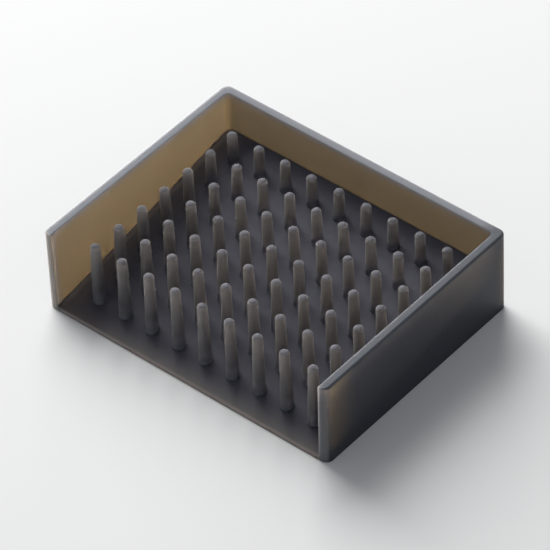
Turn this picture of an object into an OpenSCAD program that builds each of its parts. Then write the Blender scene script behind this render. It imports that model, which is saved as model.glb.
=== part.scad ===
// Three-sided soap tray with a draining floor and a bed of upright pins, in silicone rubber.
// The real tray is one moulding. It is drawn here as the pieces that its own borders divide it
// into: the sloping floor, the three walls and the rows of pins, face to face where they meet.
// X runs along the open front, Y from the open front to the back wall, and Z upwards.
// The origin is the middle of the footprint, on the surface that the tray stands on.

/* [Tray] */
// Length of the tray, along its open front
tray_l = 130; // [116:1:180]
// Depth of the tray, from its open front to the outside of its back wall
tray_d = 101; // [70:1:140]
// Height of the three walls above the table
wall_h = 36; // [33:1:60]

/* [Walls] */
// Thickness of a wall at its rim
rim_t = 3.6; // [2:0.1:5]
// Angle by which the inside of a wall leans back, so that the rubber leaves its mould
wall_draft = 1; // [0.5:0.1:3]
// Plan radius of the rounded upright corners, outside and at the open ends
corner_r = 3; // [1.5:0.1:6]
// Radius of the rounded outer edge of the rim
rim_r = 0.9; // [0.3:0.1:1.4]
// How far a side wall turns the inner corner before the back wall takes over
corner_return = 0.5; // [0.2:0.1:2]

/* [Floor] */
// Thickness of the floor at its lip, along the open front
lip_t = 1.2; // [1:0.1:3]
// Radius that rounds the top of the lip
lip_r = 1; // [0.4:0.1:1.2]
// Width of the strip behind the lip that lies on the table
land_w = 6; // [3:0.5:15]
// Angle by which the floor falls towards the open front
floor_slope = 10.2; // [4:0.1:14]
// Thickness of the floor where it meets the back wall
floor_t = 3; // [1.5:0.1:5]

/* [Pins] */
// Distance between the axes of neighbouring pins, both ways
pin_pitch = 12.5; // [9:0.1:20]
// Distance from the open front to the first row of pins
first_row = 11.2; // [5:0.1:20]
// Least distance from the axis of a pin to the foot of a side wall
side_margin = 8; // [4:0.5:12]
// Least distance from the axis of a pin to the foot of the back wall
back_margin = 8; // [4:0.5:12]
// Height of the pin tips above the table, level over the whole bed
tip_z = 30; // [28:0.5:50]
// Diameter of a pin just below its rounded tip
tip_d = 3.8; // [2.4:0.1:6]
// Radius that rounds the tip of a pin
tip_r = 1.4; // [0.5:0.1:1.8]
// Angle by which the side of a pin leans in towards its tip
pin_draft = 1.4; // [0:0.1:2.5]

/* [Hidden] */
$fn = 96;
overrun = 1;
front_y = -tray_d / 2;
back_y = tray_d / 2;

// A wall is thicker at the table than at its rim, by the run of its drafted face
function draft_run(height) = height * tan(wall_draft);
foot_t = rim_t + draft_run(wall_h);
floor_l = tray_l - 2 * foot_t;
floor_back_y = back_y - foot_t;

// The rounded corners belong to the side walls, and the back wall lies between them
corner_w = max(foot_t + corner_return, corner_r);
back_wall_l = tray_l - 2 * corner_w;

// The floor's upper face climbs from the lip, and a round nose finishes it at the open front
function floor_z(y) = lip_t + (y - front_y) * tan(floor_slope);
lip_axis_y = front_y + lip_r;
lip_axis_z = floor_z(lip_axis_y) - lip_r / cos(floor_slope);

// The bed is as many pins as the floor has room for, centred along the tray
pin_columns = floor((floor_l - 2 * side_margin) / pin_pitch) + 1;
pin_rows = floor((floor_back_y - back_margin - front_y - first_row) / pin_pitch) + 1;
function column_x(column) = (column - (pin_columns + 1) / 2) * pin_pitch;
function row_y(row) = front_y + first_row + (row - 1) * pin_pitch;

wall_shade = "#5a5a60";
floor_shade = "#3a3840";
pin_shade = "#6d6c6e";

// Plan of the tray with its corners rounded, drawn in from its outer faces by an inset
module tray_plan(inset = 0) {
    square([tray_l - 2 * corner_r, tray_d - 2 * inset], center = true);
    square([tray_l - 2 * inset, tray_d - 2 * corner_r], center = true);
    for (x = [-1, 1], y = [-1, 1])
        translate([x * (tray_l / 2 - corner_r), y * (tray_d / 2 - corner_r)])
            circle(corner_r - inset);
}

// A round bar that forms the rounded edge along one straight side of the rim
module rim_edge(length) {
    rotate([0, 90, 0])
        cylinder(r = rim_r, h = length, center = true);
}

// The solid outside of the tray, with the outer edge of its rim rounded all round
module outer_block() {
    linear_extrude(wall_h - rim_r) tray_plan();
    linear_extrude(wall_h) tray_plan(rim_r);
    for (y = [-1, 1])
        translate([0, y * (tray_d / 2 - rim_r), wall_h - rim_r])
            rim_edge(tray_l - 2 * corner_r);
    for (x = [-1, 1])
        translate([x * (tray_l / 2 - rim_r), 0, wall_h - rim_r])
            rotate(90) rim_edge(tray_d - 2 * corner_r);
    for (x = [-1, 1], y = [-1, 1])
        translate([x * (tray_l / 2 - corner_r), y * (tray_d / 2 - corner_r), wall_h - rim_r])
            rotate_extrude() intersection() {
                translate([corner_r - rim_r, 0]) circle(rim_r);
                translate([0, -rim_r]) square([corner_r, 2 * rim_r]);
            }
}

// The space inside the walls, wider at the rim than at the table, and open at the front
module inside() {
    low = -overrun;
    high = wall_h + overrun;
    intersection() {
        rotate([90, 0, 0])
            linear_extrude(tray_d + 2 * overrun, center = true)
                polygon([
                    [-floor_l / 2 - draft_run(low), low],
                    [floor_l / 2 + draft_run(low), low],
                    [floor_l / 2 + draft_run(high), high],
                    [-floor_l / 2 - draft_run(high), high],
                ]);
        rotate([90, 0, 90])
            linear_extrude(tray_l, center = true)
                polygon([
                    [front_y - overrun, low],
                    [floor_back_y + draft_run(low), low],
                    [floor_back_y + draft_run(high), high],
                    [front_y - overrun, high],
                ]);
    }
}

// The three walls as one upstand, before they are told apart
module upstand() {
    difference() {
        outer_block();
        inside();
    }
}

// A slab that picks out the walls between two places along the tray
module slice(from_x, to_x) {
    translate([from_x, front_y - overrun, -overrun])
        cube([to_x - from_x, tray_d + 2 * overrun, wall_h + 2 * overrun]);
}

// A side wall at the right-hand end, with its rounded open end and the rounded back corner
module side_wall() {
    intersection() {
        upstand();
        slice(back_wall_l / 2, tray_l / 2 + overrun);
    }
}

// Side wall on the right
module right_wall() {
    color(wall_shade) side_wall();
}

// Side wall on the left, the right one's mirror image
module left_wall() {
    color(wall_shade) mirror([1, 0, 0]) side_wall();
}

// Back wall, between the two corners
module back_wall() {
    color(wall_shade)
        intersection() {
            upstand();
            slice(-back_wall_l / 2, back_wall_l / 2);
        }
}

// Floor seen from the side: a rounded lip on the table, rising to the back wall
module floor_section() {
    union() {
        polygon([
            [front_y, 0],
            [front_y + land_w, 0],
            [back_y, floor_z(back_y) - floor_t / cos(floor_slope)],
            [back_y, floor_z(back_y)],
            [lip_axis_y - lip_r * sin(floor_slope), lip_axis_z + lip_r * cos(floor_slope)],
            [front_y, lip_axis_z],
        ]);
        translate([lip_axis_y, lip_axis_z]) circle(lip_r);
    }
}

// Draining floor, which fills the space between the three walls
module floor_sheet() {
    color(floor_shade)
        intersection() {
            rotate([90, 0, 90])
                linear_extrude(tray_l, center = true)
                    intersection() {
                        floor_section();
                        translate([front_y, 0]) square([tray_d, wall_h]);
                    }
            inside();
        }
}

// One upright pin from the table to its rounded tip, on its own axis
module pin() {
    shoulder_z = tip_z - tip_r;
    foot_r = tip_d / 2 + shoulder_z * tan(pin_draft);
    rotate_extrude()
        intersection() {
            union() {
                polygon([
                    [0, 0],
                    [foot_r, 0],
                    [tip_d / 2, shoulder_z],
                    [tip_d / 2 - tip_r, tip_z],
                    [0, tip_z],
                ]);
                translate([tip_d / 2 - tip_r, shoulder_z]) circle(tip_r);
            }
            square([foot_r, tip_z]);
        }
}

// Everything below the upper face of the floor, where a pin has no body of its own
module below_floor() {
    rotate([90, 0, 90])
        linear_extrude(tray_l, center = true)
            polygon([
                [front_y - overrun, -overrun],
                [back_y + overrun, -overrun],
                [back_y + overrun, floor_z(back_y + overrun)],
                [front_y - overrun, floor_z(front_y - overrun)],
            ]);
}

// One row of pins along the tray, each with its foot on the sloping floor
module pin_row(row) {
    color(pin_shade)
        difference() {
            for (column = [1 : pin_columns])
                translate([column_x(column), row_y(row), 0])
                    pin();
            below_floor();
        }
}

floor_sheet();  // floor
left_wall();
right_wall();
back_wall();
for (row = [1 : pin_rows])
    pin_row(row);
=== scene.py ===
import math
import random

import bmesh
import bpy
from mathutils import Matrix, Vector


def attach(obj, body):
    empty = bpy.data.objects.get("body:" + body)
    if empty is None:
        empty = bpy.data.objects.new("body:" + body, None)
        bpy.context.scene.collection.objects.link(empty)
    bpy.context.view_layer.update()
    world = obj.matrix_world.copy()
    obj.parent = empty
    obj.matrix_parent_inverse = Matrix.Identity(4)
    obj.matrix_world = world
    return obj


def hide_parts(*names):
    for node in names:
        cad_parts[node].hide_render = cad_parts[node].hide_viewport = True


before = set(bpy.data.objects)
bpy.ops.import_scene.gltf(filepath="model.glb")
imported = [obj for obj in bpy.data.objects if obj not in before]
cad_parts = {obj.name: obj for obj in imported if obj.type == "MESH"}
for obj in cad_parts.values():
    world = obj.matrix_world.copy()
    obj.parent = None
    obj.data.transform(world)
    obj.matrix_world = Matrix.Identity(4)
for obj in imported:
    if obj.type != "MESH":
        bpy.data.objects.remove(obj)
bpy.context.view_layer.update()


# Walls. The left, back and right walls stand round three sides of the tray as one U of smoke-grey
# silicone rubber. They come out of the same mould as everything else: the inner faces lean back by
# a degree so that the rubber lets go, and the rim and both open ends are rounded to the touch.

MM = 0.001
tray_l = 130 * MM
tray_d = 101 * MM
wall_h = 36 * MM
rim_t = 3.6 * MM
wall_draft = math.tan(math.radians(1))
foot_t = rim_t + wall_h * wall_draft
half_l = tray_l / 2
half_d = tray_d / 2
foot_x = half_l - foot_t
foot_y = half_d - foot_t

corner_r = 3 * MM
inner_corner_r = 2 * MM
open_end_r = 0.5 * MM
rim_r = 1 * MM
rim_inner_r = 0.4 * MM
base_r = 0.25 * MM
corner_steps = 10
base_steps = 3
rim_steps = 6
quarter_turn = math.radians(90)
sharp_angle = math.radians(40)
weld_distance = 0.0001 * MM

wall_grey = "#282a32"
wall_mottle = "#24262d"
# These greys paint shade and light: shade on the right wall's outside, paler rims and open ends for the
# light that gets in and glints on them, and shade on the right rim and the right end.
shaded_face_grey = "#20232e"
lit_rim_grey = "#696b70"
shaded_rim_grey = "#303339"
lit_end_grey = "#84807c"
shaded_end_grey = "#54575d"
cool_sheen = "#f1f7ff"
wall_satin = (0.44, 0.54)
wall_depth = (30.8 * MM, 25 * MM, 17.8 * MM)
clear_depth = (28.6 * MM, 26.2 * MM, 23.2 * MM)
# The right wall's outside lets less light through, as painted shade.
shaded_face_depth = (19 * MM, 17.5 * MM, 15 * MM)
rim_depth = (5.6 * MM, 5.2 * MM, 4.8 * MM)
end_depth = (8.5 * MM, 7.8 * MM, 7.2 * MM)

# The rubber is mottled in soft clouds, and a faint bloom dulls its sheen here and there. The grit is
# the tool's own finish. The real one is finer, and it is drawn this coarse so that it shows.
silicone_ior = 1.41
cloud_size = 16 * MM
bloom_size = 2.2 * MM
grit_size = 0.35 * MM
grit_height = 0.04 * MM
grit_strength = 0.12


def moulded_piece(bm, name, material, slot, *nodes):
    """Turns a finished shape into a piece of the tray that stands for nodes of the solid model."""
    bmesh.ops.remove_doubles(bm, verts=bm.verts, dist=weld_distance)
    bmesh.ops.recalc_face_normals(bm, faces=bm.faces)
    mesh = bpy.data.meshes.new(name)
    bm.to_mesh(mesh)
    bm.free()
    for face in mesh.polygons:
        face.use_smooth = True
    mesh.set_sharp_from_angle(angle=sharp_angle)
    mesh.materials.append(material)
    piece = bpy.data.objects.new(name, mesh)
    bpy.context.scene.collection.objects.link(piece)
    flat = piece.modifiers.new("flat faces", "WEIGHTED_NORMAL")
    flat.keep_sharp = True
    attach(piece, "root")
    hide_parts(*nodes)


def linear(code):
    """Turns an sRGB hex colour into the linear colour that a shader takes."""
    parts = [int(code[i:i + 2], 16) / 255 for i in (1, 3, 5)]
    return tuple(c / 12.92 if c <= 0.04045 else ((c + 0.055) / 1.055) ** 2.4 for c in parts) + (1,)


def add(tree, kind, settings=(), links=()):
    """Adds one node with its settings and the links that feed it."""
    node = tree.nodes.new(kind)
    for key, value in dict(settings).items():
        if hasattr(node, str(key)):
            setattr(node, key, value)
        else:
            node.inputs[key].default_value = value
    for socket, source in dict(links).items():
        tree.links.new(source, node.inputs[socket])
    return node


# Sockets that share a name on their node, and so are told apart by number: the two values of a sum,
# and a mix's share, its two greys or two depths, and what comes out.
first, second = 0, 1
share_in = 0
grey_from, grey_to, grey_out = 6, 7, 2
depth_from, depth_to, depth_out = 4, 5, 1


def moulded_silicone(name, grey, mottle, depth, satin, *fades):
    """Smoke-grey translucent silicone rubber, compression moulded against a fine satin tool. Light
    wanders through it, red furthest, so thin walls lit from behind glow tan and thick parts go dark.
    Depth is how far red, green and blue reach, and satin is the least and the greatest roughness.
    Each fade is a direction, a place that lies that way, how far short of the place the change begins
    and ends, and the grey and the depth that it comes to, or None for what stays: light gets in from
    more sides at an edge and is filtered less."""
    material = bpy.data.materials.new(name)
    material.use_nodes = True
    tree = material.node_tree
    tree.nodes.clear()
    spot = add(tree, "ShaderNodeTexCoord").outputs["Object"]
    cloud = add(tree, "ShaderNodeTexNoise", {"Scale": 1 / cloud_size, "Detail": 2.0}, {"Vector": spot})
    tone = add(tree, "ShaderNodeMix",
               {"data_type": "RGBA", grey_from: linear(grey), grey_to: linear(mottle)},
               {share_in: cloud.outputs["Fac"]}).outputs[grey_out]
    glow = None
    for direction, place, (begins, ends), end_grey, end_depth in fades:
        level = Vector(direction).dot(Vector(place))
        along = add(tree, "ShaderNodeVectorMath", {"operation": "DOT_PRODUCT", second: direction},
                    {first: spot})
        share = add(tree, "ShaderNodeMapRange", {"From Min": level - begins, "From Max": level - ends},
                    {"Value": along.outputs["Value"]}).outputs["Result"]
        if end_grey:
            tone = add(tree, "ShaderNodeMix", {"data_type": "RGBA", grey_to: linear(end_grey)},
                       {share_in: share, grey_from: tone}).outputs[grey_out]
        if end_depth:
            before = {depth_from: glow} if glow else {}
            glow = add(tree, "ShaderNodeMix",
                       {"data_type": "VECTOR", depth_from: depth, depth_to: end_depth},
                       {share_in: share, **before}).outputs[depth_out]
    bloom = add(tree, "ShaderNodeTexNoise", {"Scale": 1 / bloom_size, "Detail": 3.0}, {"Vector": spot})
    least, greatest = satin
    sheen = add(tree, "ShaderNodeMapRange", {"To Min": least, "To Max": greatest},
                {"Value": bloom.outputs["Fac"]})
    grit = add(tree, "ShaderNodeTexNoise", {"Scale": 1 / grit_size, "Detail": 2.0}, {"Vector": spot})
    tooth = add(tree, "ShaderNodeBump", {"Strength": grit_strength, "Distance": grit_height},
                {"Height": grit.outputs["Fac"]})
    skin = {"Base Color": tone, "Roughness": sheen.outputs["Result"], "Normal": tooth.outputs["Normal"]}
    if glow:
        skin["Subsurface Radius"] = glow
    rubber = add(tree, "ShaderNodeBsdfPrincipled", {
        "IOR": silicone_ior,
        "Specular Tint": linear(cool_sheen),
        "Subsurface Weight": 1.0,
        "Subsurface Scale": 1.0,
        "Subsurface Radius": depth,
    }, skin)
    add(tree, "ShaderNodeOutputMaterial", (), {"Surface": rubber.outputs["BSDF"]})
    return material


# Where the walls' rubber changes: the directions, the places that they lead to, and how far short of
# each place its change begins and ends.
upwards = (0, 0, 1)
forwards = (0, -1, 0)
to_right_face = (1, -0.06, 0)
to_right_front = (0.3, -1, 0)
to_right_rim = (0.1, 0, 1)
to_right_end = (0.1, -1, 0)
rim = (0, 0, wall_h)
open_front = (0, -half_d, 0)
right_face = (half_l, 0, 0)
right_rim = (half_l, 0, wall_h)
right_end = (half_l, -half_d, 0)
clear_rim_reach = (2.5 * MM, 0.5 * MM)
pale_rim_reach = (0.6 * MM, 0.05 * MM)
dark_rim_reach = (0.95 * MM, 0.4 * MM)
clear_end_reach = (3.5 * MM, 0.8 * MM)
pale_end_reach = (1.6 * MM, 0)
dark_end_reach = (1.8 * MM, 0.3 * MM)
shaded_face_reach = (3.5 * MM, 0)
plain_front_reach = (16 * MM, 4 * MM)

# The rubber clears at its rims and its open ends, and its grey is painted paler there for the light
# that gets in and glints on them. The right wall stands furthest from the light, so its rim and its
# end are painted darker with shade, and behind its end its outside is drawn denser and painted darker
# as well, as shade.
wall_silicone = moulded_silicone(
    "moulded_silicone_walls", wall_grey, wall_mottle, wall_depth, wall_satin,
    (upwards, rim, clear_rim_reach, None, clear_depth),
    (to_right_face, right_face, shaded_face_reach, shaded_face_grey, shaded_face_depth),
    (to_right_front, right_end, plain_front_reach, wall_grey, wall_depth),
    (forwards, open_front, clear_end_reach, None, clear_depth),
    (upwards, rim, pale_rim_reach, lit_rim_grey, rim_depth),
    (forwards, open_front, pale_end_reach, lit_end_grey, end_depth),
    (to_right_rim, right_rim, dark_rim_reach, shaded_rim_grey, rim_depth),
    (to_right_end, right_end, dark_end_reach, shaded_end_grey, end_depth))

# The walls are drawn flat, as the outline of their foot with its corners rounded, and then raised ring
# by ring. Each point of the outline carries what the rings above it need.
upstand = bmesh.new()
plan = upstand.verts.layers.float_vector.new("plan")
way_out = upstand.verts.layers.float_vector.new("way_out")
draft_shift = upstand.verts.layers.float_vector.new("draft_shift")
rim_round = upstand.verts.layers.float.new("rim_round")


def round_corner(x, y, radius, towards, hollow=False, inner=False):
    """Rounds an upright corner of the walls in plan. Each new point notes the way out of the rubber,
    where the draft of the inner face takes it at the rim, and how far the rim is rounded above it."""
    corner = min(upstand.verts, key=lambda vert: (vert.co - Vector((x, y, 0))).length)
    middle = corner.co + radius * Vector(towards)
    points = bmesh.ops.bevel(upstand, geom=[corner], offset=radius, offset_type="OFFSET", affect="VERTICES",
                             segments=corner_steps, profile=0.5, material=-1, clamp_overlap=False)["verts"]
    for vert in points:
        away = (vert.co - middle).normalized()
        vert[plan] = vert.co
        vert[way_out] = -away if hollow else away
        vert[rim_round] = rim_inner_r
        if inner:
            to_back = 1 if y > 0 else 0
            vert[draft_shift] = wall_h * wall_draft * Vector((math.copysign(1, x), to_back, 0))
        else:
            round_the_end = away.angle(Vector(forwards)) / quarter_turn
            vert[rim_round] += (rim_r - rim_inner_r) * min(1, round_the_end)


def settle(points, turn, at_rim):
    """Puts a ring of points where the rounding of the foot's edge or of the rim has turned so far."""
    for vert in points:
        radius = vert[rim_round] if at_rim else base_r
        short = radius * (1 - math.sin(turn))
        vert.co = vert[plan] - radius * (1 - math.cos(turn)) * vert[way_out]
        vert.co.z = short
        if at_rim:
            vert.co += vert[draft_shift]
            vert.co.z = wall_h - short


def points_of(parts):
    """Picks the points out of what an operator has made."""
    return [part for part in parts if isinstance(part, bmesh.types.BMVert)]


upstand.faces.new([upstand.verts.new((x, y, 0)) for x, y in (
    (half_l, -half_d), (half_l, half_d), (-half_l, half_d), (-half_l, -half_d),
    (-foot_x, -half_d), (-foot_x, foot_y), (foot_x, foot_y), (foot_x, -half_d))])
for side in (-1, 1):
    round_corner(side * half_l, -half_d, corner_r, (-side, 1, 0))
    round_corner(side * half_l, half_d, corner_r, (-side, -1, 0))
    round_corner(side * foot_x, foot_y, inner_corner_r, (-side, -1, 0), hollow=True, inner=True)
    round_corner(side * foot_x, -half_d, open_end_r, (side, 1, 0), inner=True)

# The first face stays as the underside, and each later one goes when the next is raised from it.
(underside,) = upstand.faces
settle(upstand.verts, quarter_turn, at_rim=False)
top = underside
rings = [(1 - step / base_steps, False) for step in range(1, base_steps + 1)]
rings += [(step / rim_steps, True) for step in range(rim_steps + 1)]
for turned, at_rim in rings:
    raised = bmesh.ops.extrude_face_region(upstand, geom=[top])["geom"]
    if top != underside:
        bmesh.ops.delete(upstand, geom=[top], context="FACES_ONLY")
    (top,) = (part for part in raised if isinstance(part, bmesh.types.BMFace))
    settle(points_of(raised), turned * quarter_turn, at_rim)
moulded_piece(upstand, "walls_silicone", wall_silicone, "wall_silicone",
              "left_wall", "back_wall", "right_wall")


# Floor. A sheet of the same rubber, about 3 mm thick, that climbs from a thin rounded lip at the open
# front to the back wall, so that water runs off it. It is moulded with the walls and runs into them
# in soft coves.

lip_t = 1.2 * MM
land_w = 6 * MM
floor_t = 3 * MM
floor_slope = math.radians(10.2)
floor_rise = math.tan(floor_slope)
cove_r = 0.8 * MM
lip_r = 0.9 * MM
cove_steps = 8
lip_steps = 5

# The sheet is drawn with stubs of wall round it, which give the coves their corners and are cut off
# again a little above them. It keeps a hair clear of the walls themselves. The leaning of the back
# stub takes the edge at its foot 0.06 mm off the slope of the floor, and the draft tolerance allows
# for that.
stub_h = 6 * MM
stub_t = 4 * MM
above_cove = 0.2 * MM
joint_gap = 0.02 * MM
tolerance = 0.01 * MM
draft_tolerance = 0.1 * MM
cut_tolerance = 0.00001 * MM

floor_grey = "#3b3642"
floor_mottle = "#36313d"
lip_pale = "#5b544f"
lip_edge = "#857a73"
spill = "#776a66"
spill_foot = "#b89e88"
floor_satin = (0.56, 0.66)
floor_depth = (8.5 * MM, 7 * MM, 5.6 * MM)

leftwards = (-1, 0, 0)
left_foot = (-foot_x, 0, 0)
spill_reach = (12 * MM, 0)
spill_foot_reach = (2.2 * MM, 0)
lip_pale_reach = (8 * MM, 0.8 * MM)
lip_edge_reach = (1.1 * MM, 0.1 * MM)

# In the real tray light runs on from the lit left wall into the floor. Light doesn't cross from one
# piece to another here, so the floor's own grey is paler beside that wall, and palest at its foot.
# The lip is paler too, for light gets into it from in front and from above.
floor_silicone = moulded_silicone(
    "moulded_silicone_floor", floor_grey, floor_mottle, floor_depth, floor_satin,
    (leftwards, left_foot, spill_reach, spill, None),
    (leftwards, left_foot, spill_foot_reach, spill_foot, None),
    (forwards, open_front, lip_pale_reach, lip_pale, None),
    (forwards, open_front, lip_edge_reach, lip_edge, None))


def near(value, target, within=tolerance):
    """Tells whether two sizes are the same, but for rounding."""
    return abs(value - target) < within


def cut_away(bm, point, direction):
    """Cuts the rubber with a plane, drops what lies in the given direction and closes the cut."""
    everything = list(bm.verts) + list(bm.edges) + list(bm.faces)
    bmesh.ops.bisect_plane(bm, geom=everything, dist=cut_tolerance, plane_co=point,
                           plane_no=Vector(direction).normalized(), clear_outer=True)
    open_edges = [edge for edge in bm.edges if edge.is_boundary]
    bmesh.ops.holes_fill(bm, edges=open_edges, sides=0)


def soft_rounds(bm, radius, segments):
    """Rounds the edges that carry a bevel weight, each by its share of the radius. The modifier does
    it, because it lets the rounding of the lip taper towards the walls."""
    mesh = bpy.data.meshes.new("rounding")
    bm.to_mesh(mesh)
    blank = bpy.data.objects.new("rounding", mesh)
    bpy.context.scene.collection.objects.link(blank)
    rounding = blank.modifiers.new("rounding", "BEVEL")
    rounding.limit_method = "WEIGHT"
    rounding.width = radius
    rounding.segments = segments
    rounding.use_clamp_overlap = False
    rounded = blank.evaluated_get(bpy.context.evaluated_depsgraph_get()).to_mesh()
    result = bmesh.new()
    result.from_mesh(rounded)
    bpy.data.objects.remove(blank)
    bpy.data.meshes.remove(mesh)
    return result


def floor_z(y):
    """The upper face climbs evenly from the lip."""
    return lip_t + (y + half_d) * floor_rise


def underside_z(y):
    """The underside lies flat behind the lip and then climbs until the floor has its full thickness."""
    back_z = floor_z(half_d) - floor_t / math.cos(floor_slope)
    return max(0, y + half_d - land_w) / (tray_d - land_w) * back_z


def under_wall(face):
    """Tells whether a face lies where a wall stands."""
    middle = face.calc_center_median()
    return abs(middle.x) > foot_x or middle.y > foot_y


def cove_edges(bm):
    """Finds the inner edges where the floor meets the walls, and the upright ones in the back corners."""
    found = []
    for edge in bm.edges:
        ends = [vert.co for vert in edge.verts]
        at_side = all(near(abs(end.x), foot_x + joint_gap + end.z * wall_draft) for end in ends)
        at_back = all(near(end.y, foot_y + joint_gap + end.z * wall_draft) for end in ends)
        on_floor = all(near(end.z, floor_z(end.y), draft_tolerance) for end in ends)
        same_side = ends[0].x * ends[1].x > 0
        before_stub = max(end.y for end in ends) < foot_y + stub_t / 2
        up_the_stub = max(end.z for end in ends) > floor_z(foot_y) + stub_h / 2
        along_side = same_side and at_side and on_floor and before_stub
        along_back = not same_side and at_back and on_floor
        upright = same_side and at_side and at_back and up_the_stub
        if along_side or along_back or upright:
            found.append(edge)
    return found


floor_sheet = bmesh.new()
columns = [-foot_x - stub_t, -foot_x - joint_gap, foot_x + joint_gap, foot_x + stub_t]
rows = [-half_d, -half_d + land_w, foot_y + joint_gap, foot_y + stub_t]
cells = len(columns) - 1
bmesh.ops.create_grid(floor_sheet, x_segments=cells, y_segments=cells, size=cells / 2)
for vert in floor_sheet.verts:
    column, row = (round(along + cells / 2) for along in vert.co.xy)
    vert.co = (columns[column], rows[row], 0)
raised = bmesh.ops.extrude_face_region(floor_sheet, geom=list(floor_sheet.faces))["geom"]
upper = set(points_of(raised))
for vert in floor_sheet.verts:
    vert.co.z = floor_z(vert.co.y) if vert in upper else underside_z(vert.co.y)
floor_sheet.normal_update()

stubs = [face for face in floor_sheet.faces if upper.issuperset(face.verts) and under_wall(face)]
raised = bmesh.ops.extrude_face_region(floor_sheet, geom=stubs)["geom"]
bmesh.ops.translate(floor_sheet, vec=(0, 0, stub_h), verts=points_of(raised))
bmesh.ops.delete(floor_sheet, geom=[face for face in stubs if face.is_valid], context="FACES_ONLY")
for vert in floor_sheet.verts:
    lean = vert.co.z * wall_draft
    if near(abs(vert.co.x), foot_x + joint_gap):
        vert.co.x += math.copysign(lean, vert.co.x)
    if near(vert.co.y, foot_y + joint_gap):
        vert.co.y += lean
bmesh.ops.bevel(floor_sheet, geom=cove_edges(floor_sheet), offset=cove_r, offset_type="OFFSET",
                affect="EDGES", segments=cove_steps, profile=0.5, material=-1, clamp_overlap=False)

weight = floor_sheet.edges.layers.float.new("bevel_weight_edge")
for edge in floor_sheet.edges:
    ends = [vert.co for vert in edge.verts]
    in_front = all(near(end.y, -half_d) for end in ends)
    between_walls = all(abs(end.x) < foot_x + joint_gap + end.z * wall_draft + tolerance for end in ends)
    on_top = all(end.z > lip_t / 2 for end in ends)
    if in_front and between_walls and on_top:
        level = all(near(end.z, lip_t) for end in ends)
        edge[weight] = 1 if level and edge.calc_length() > foot_x else open_end_r / lip_r
rounded_floor = soft_rounds(floor_sheet, lip_r, lip_steps)
floor_sheet.free()
for side in (-1, 1):
    cut_away(rounded_floor, (side * (foot_x - joint_gap), 0, 0), (side, 0, -wall_draft))
cut_away(rounded_floor, (0, foot_y - joint_gap, 0), (0, 1, -wall_draft))
cut_away(rounded_floor, (0, 0, floor_z(0) + cove_r + above_cove), (0, -floor_rise, 1))
moulded_piece(rounded_floor, "floor_silicone", floor_silicone, "floor_silicone", "floor")


# Pins. Upright tapered pins of the same rubber, nine to a row and seven rows deep, on one square
# grid, moulded with the floor. Their rounded tips are level, a little below the rim, and each foot
# flares into the floor.

pin_rows = 7
pin_columns = 9
pin_pitch = 12.5 * MM
first_row = 11.2 * MM
tip_z = 30 * MM
tip_d = 3.8 * MM
tip_r = 1.4 * MM
pin_draft = math.tan(math.radians(1.4))
flare_r = 0.2 * MM
seat = 0.04 * MM
flare_steps = 5
side_shares = (0.15, 0.4, 0.7)
tip_steps = 6
pin_facets = 32

# Soft pins don't all stand quite upright. The bend grows towards the tip, and the lowest part of a pin
# follows the slope of the floor.
lean_max = 0.2 * MM
lean_power = 1.5
sloped_share = 0.4
wobble = random.Random(7)

pin_grey = "#3b3b40"
pin_mottle = "#37373b"
# These greys paint light and shade on the pins: paler up the lit pins and beside the lit left wall, darker
# as shade over the tips, and paler at the feet for the light that the floor passes on.
pin_pale = "#424243"
pin_spill = "#625f5d"
tip_shade_grey = "#232328"
foot_grey = "#5e5e66"
foot_edge = "#868690"
pin_satin = (0.50, 0.60)
pin_depth = (19 * MM, 17.9 * MM, 17.1 * MM)


def column_x(column):
    """The columns of pins are centred along the tray."""
    return (column - (pin_columns + 1) / 2) * pin_pitch


def row_y(row):
    """The rows are counted from the open front."""
    return -half_d + first_row + (row - 1) * pin_pitch


to_left_tips = (-1, 0, 0.4)
into_floor = (0, floor_rise, -1)
tips = (0, 0, tip_z)
left_tips = (column_x(1), 0, tip_z)
floor_middle = (0, 0, floor_z(0))
pin_pale_reach = (20 * MM, 4 * MM)
pin_spill_reach = (10.5 * MM, 2.5 * MM)
tip_reach = (0.6 * MM, 0)
foot_reach = (7 * MM, 0)
foot_edge_reach = (1.8 * MM, 0)

# The pins are lit through, so their grey is painted paler with height, and painted darker again over
# the round of their tips as shade. Those beside the lit left wall are painted paler still, and so are
# all feet, for the light that the floor passes on.
pin_silicone = moulded_silicone(
    "moulded_silicone_pins", pin_grey, pin_mottle, pin_depth, pin_satin,
    (upwards, tips, pin_pale_reach, pin_pale, None),
    (to_left_tips, left_tips, pin_spill_reach, pin_spill, None),
    (upwards, tips, tip_reach, tip_shade_grey, None),
    (into_floor, floor_middle, foot_reach, foot_grey, None),
    (into_floor, floor_middle, foot_edge_reach, foot_edge, None))


def pin_profile(height):
    """Half of a pin's outline, from its axis under the foot to its axis at the tip."""
    shoulder = height - tip_r
    foot_radius = tip_d / 2 + shoulder * pin_draft
    outline = [(0, -seat), (foot_radius + flare_r, -seat)]
    for step in range(1, flare_steps + 1):
        turn = quarter_turn * step / flare_steps
        outline.append((foot_radius + flare_r * (1 - math.sin(turn)), flare_r * (1 - math.cos(turn))))
    for share in side_shares:
        level = flare_r + (shoulder - flare_r) * share
        outline.append((foot_radius - level * pin_draft, level))
    for step in range(tip_steps + 1):
        turn = quarter_turn * step / tip_steps
        outline.append((tip_d / 2 - tip_r * (1 - math.cos(turn)), shoulder + tip_r * math.sin(turn)))
    outline.append((0, height))
    return outline


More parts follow.
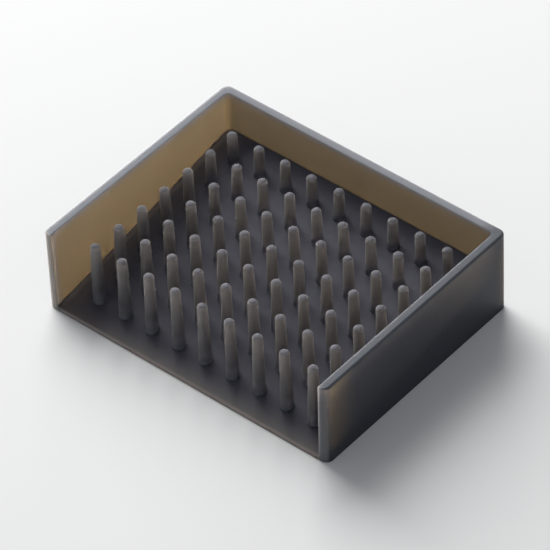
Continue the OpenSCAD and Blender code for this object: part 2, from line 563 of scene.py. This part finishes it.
def add_pin(bm, x, y):
    """Adds one pin, its foot following the slope of the floor and its tip a hair off upright."""
    base_z = floor_z(y)
    height = tip_z - base_z
    one = bmesh.new()
    outline = [one.verts.new((r, 0, h)) for r, h in pin_profile(height)]
    edges = [one.edges.new(pair) for pair in zip(outline, outline[1:])]
    bmesh.ops.spin(one, geom=outline + edges, axis=(0, 0, 1), cent=(0, 0, 0), steps=pin_facets,
                   angle=math.tau, use_merge=True)
    bmesh.ops.remove_doubles(one, verts=one.verts, dist=weld_distance)
    lean = Vector((wobble.uniform(-lean_max, lean_max), wobble.uniform(-lean_max, lean_max), 0))
    for vert in one.verts:
        share = max(0, vert.co.z / height)
        vert.co.z += vert.co.y * floor_rise * max(0, 1 - share / sloped_share)
        vert.co += lean * share ** lean_power
    bmesh.ops.translate(one, vec=(x, y, base_z), verts=one.verts)
    mesh = bpy.data.meshes.new("pin")
    one.to_mesh(mesh)
    one.free()
    bm.from_mesh(mesh)
    bpy.data.meshes.remove(mesh)


for row in range(1, pin_rows + 1):
    bed = bmesh.new()
    for column in range(1, pin_columns + 1):
        add_pin(bed, column_x(column), row_y(row))
    moulded_piece(bed, f"pin_row_{row}_silicone", pin_silicone, "pin_silicone", f"pin_row_{row}")


# Stage. A wide matt white board that carries the tray and takes its soft shadow. It isn't part of
# the tray, and it lies a hair below it so that no two faces share a place.

table_white = "#e7e7e7"
table_half = 3
table_drop = 0.05 * MM

table = bmesh.new()
bmesh.ops.create_grid(table, x_segments=1, y_segments=1, size=table_half)
bmesh.ops.translate(table, vec=(0, 0, -table_drop), verts=table.verts)
table_mesh = bpy.data.meshes.new("table")
table.to_mesh(table_mesh)
table.free()
table_top = bpy.data.objects.new("table", table_mesh)
bpy.context.scene.collection.objects.link(table_top)
board = bpy.data.materials.new("matt_white_board")
board.use_nodes = True
board.node_tree.nodes.clear()
paint = add(board.node_tree, "ShaderNodeBsdfPrincipled",
            {"Base Color": linear(table_white), "Roughness": 0.75, "Specular IOR Level": 0.2})
add(board.node_tree, "ShaderNodeOutputMaterial", (), {"Surface": paint.outputs["BSDF"]})
table_mesh.materials.append(board)


# Light. A large window of soft light stands off the tray's left side, high up and a little behind
# it. A low one stands in for the light that bright ground throws back at the foot of the left wall,
# and shows no glint of its own. Pale surroundings fill the rest.

daylight = (1, 0.995, 0.985)
aim = Vector((0, 0, 10 * MM))
fill_white = "#f7fafe"
backdrop_white = "#eef3ff"


def soft_window(name, place, width, height, power, glints=True):
    """Adds a rectangle of soft daylight that faces the middle of the tray."""
    lamp = bpy.data.lights.new(name, "AREA")
    lamp.shape = "RECTANGLE"
    lamp.size = width
    lamp.size_y = height
    lamp.energy = power
    lamp.color = daylight
    fitting = bpy.data.objects.new(name, lamp)
    facing = (aim - Vector(place)).to_track_quat("-Z", "Y").to_matrix().to_4x4()
    fitting.matrix_world = Matrix.Translation(Vector(place)) @ facing
    fitting.visible_glossy = glints
    bpy.context.scene.collection.objects.link(fitting)


soft_window("window", place=(-1.592, 0.919, 1.543), width=1.9, height=1.9, power=74)
soft_window("low_window", place=(-2.49, 0.76, 0.136), width=1.6, height=0.17, power=120, glints=False)

# Seen directly, mirrored or through something clear, the surroundings are a pale backdrop at full
# strength. What lights the tray is a dimmer fill.
fill_in, backdrop_in = 1, 2
surroundings = bpy.data.worlds.new("pale_surroundings")
bpy.context.scene.world = surroundings
surroundings.use_nodes = True
sky_tree = surroundings.node_tree
sky_tree.nodes.clear()
path = add(sky_tree, "ShaderNodeLightPath")
seen = add(sky_tree, "ShaderNodeMath", {"operation": "MAXIMUM"},
           {first: path.outputs["Is Camera Ray"], second: path.outputs["Is Glossy Ray"]})
seen = add(sky_tree, "ShaderNodeMath", {"operation": "MAXIMUM"},
           {first: seen.outputs["Value"], second: path.outputs["Is Transmission Ray"]})
fill = add(sky_tree, "ShaderNodeBackground", {"Color": linear(fill_white), "Strength": 0.3})
backdrop = add(sky_tree, "ShaderNodeBackground", {"Color": linear(backdrop_white), "Strength": 1.0})
sky = add(sky_tree, "ShaderNodeMixShader", (),
          {share_in: seen.outputs["Value"], fill_in: fill.outputs["Background"],
           backdrop_in: backdrop.outputs["Background"]})
add(sky_tree, "ShaderNodeOutputWorld", (), {"Surface": sky.outputs["Shader"]})


# Camera. A long lens looks down on the tray from beyond its right front corner. Where it stands, how
# it is turned and how long it is were solved from the straight edges of the tray in the photograph.

camera_azimuth = math.radians(41.817)
camera_height = math.radians(43.513)
camera_roll = math.radians(-2.753)
camera_distance = 1665.6 * MM
camera_aim = Vector((-0.234, -0.278, 15)) * MM
focal_pixels = 4675.3
image_pixels = 550

backward = Vector((math.sin(camera_azimuth) * math.cos(camera_height),
                   -math.cos(camera_azimuth) * math.cos(camera_height), math.sin(camera_height)))
rightward = Vector((math.cos(camera_azimuth), math.sin(camera_azimuth), 0))
upward = backward.cross(rightward)
tilted_right = rightward * math.cos(camera_roll) + upward * math.sin(camera_roll)
tilted_up = upward * math.cos(camera_roll) - rightward * math.sin(camera_roll)
lens = bpy.data.cameras.new("camera")
lens.sensor_width = 36
lens.lens = focal_pixels / image_pixels * lens.sensor_width
lens.clip_start = 0.05
lens.clip_end = 20
camera = bpy.data.objects.new("camera", lens)
camera_turn = Matrix((tilted_right, tilted_up, backward)).transposed().to_4x4()
camera.matrix_world = Matrix.Translation(camera_aim + backward * camera_distance) @ camera_turn
bpy.context.scene.collection.objects.link(camera)
bpy.context.scene.camera = camera
bpy.context.scene.view_settings.view_transform = "Standard"
